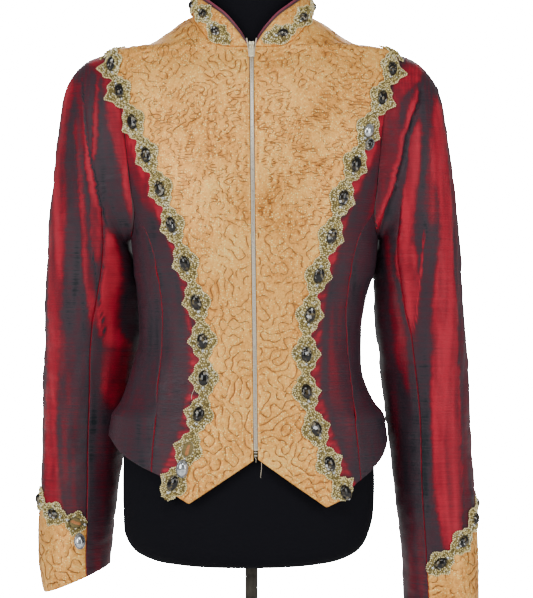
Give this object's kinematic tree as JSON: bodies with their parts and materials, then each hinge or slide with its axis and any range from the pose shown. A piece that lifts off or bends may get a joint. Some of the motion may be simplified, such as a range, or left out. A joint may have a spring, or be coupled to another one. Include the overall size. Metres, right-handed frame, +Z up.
{
  "type": "western jacket on dress form",
  "caption": "Waist-length western show jacket with long sleeves, stand collar, centre-front zip, quilted fronts and jewelled trim, on a limbless dress form with pole and round base.",
  "frame": {"origin": "centre of the underside of the stand's round base", "axes": "+Z up, -Y towards the front of the jacket, +X towards the wearer's left"},
  "size_m": [0.5667, 0.3, 1.06],
  "materials": {
    "red_silk": "shot silk, crimson with a near-black weft, slubbed",
    "gold_cloth": "peach-gold satin with a fine winding quilting stitch",
    "wine_piping": "dark wine satin piping",
    "jewelled_trim": "antique gold bullion and beads with dark faceted stones",
    "zip_metal": "silver-beige metal zip",
    "zip_enamel": "cream enamelled metal",
    "black_jersey": "matt black stretch jersey",
    "chrome": "polished chrome",
    "base_steel": "satin-polished steel plate"
  },
  "bodies": {
    "jacket_and_form": {"form_torso": "black_jersey", "stand_pole": "chrome", "stand_base": "base_steel", "front_centre_left": "gold_cloth", "front_centre_right": "gold_cloth", "front_side_left": "red_silk", "front_side_right": "red_silk", "side_left": "red_silk", "side_right": "red_silk", "back_left": "red_silk", "back_right": "red_silk", "collar": "gold_cloth", "collar_piping": "wine_piping", "collar_trim": "jewelled_trim", "top_sleeve_left": "red_silk", "top_sleeve_right": "red_silk", "under_sleeve_left": "red_silk", "under_sleeve_right": "red_silk", "cuff_left": "gold_cloth", "cuff_right": "gold_cloth", "front_trim_left": "jewelled_trim", "front_trim_right": "jewelled_trim", "cuff_trim_left": "jewelled_trim", "cuff_trim_right": "jewelled_trim", "zip_chain": "zip_metal", "zip_stop": "zip_metal", "zip_slider": "zip_enamel"},
    "zip_pull": {"zip_pull": "zip_enamel"}
  },
  "joints": [
    {"name": "zip_pull_hinge", "type": "hinge", "parent": "jacket_and_form", "child": "zip_pull", "pos_m": [0.00064, -0.07635, 0.93421], "axis": [-1, 0, 0], "range_deg": [0, 150]}
  ]
}
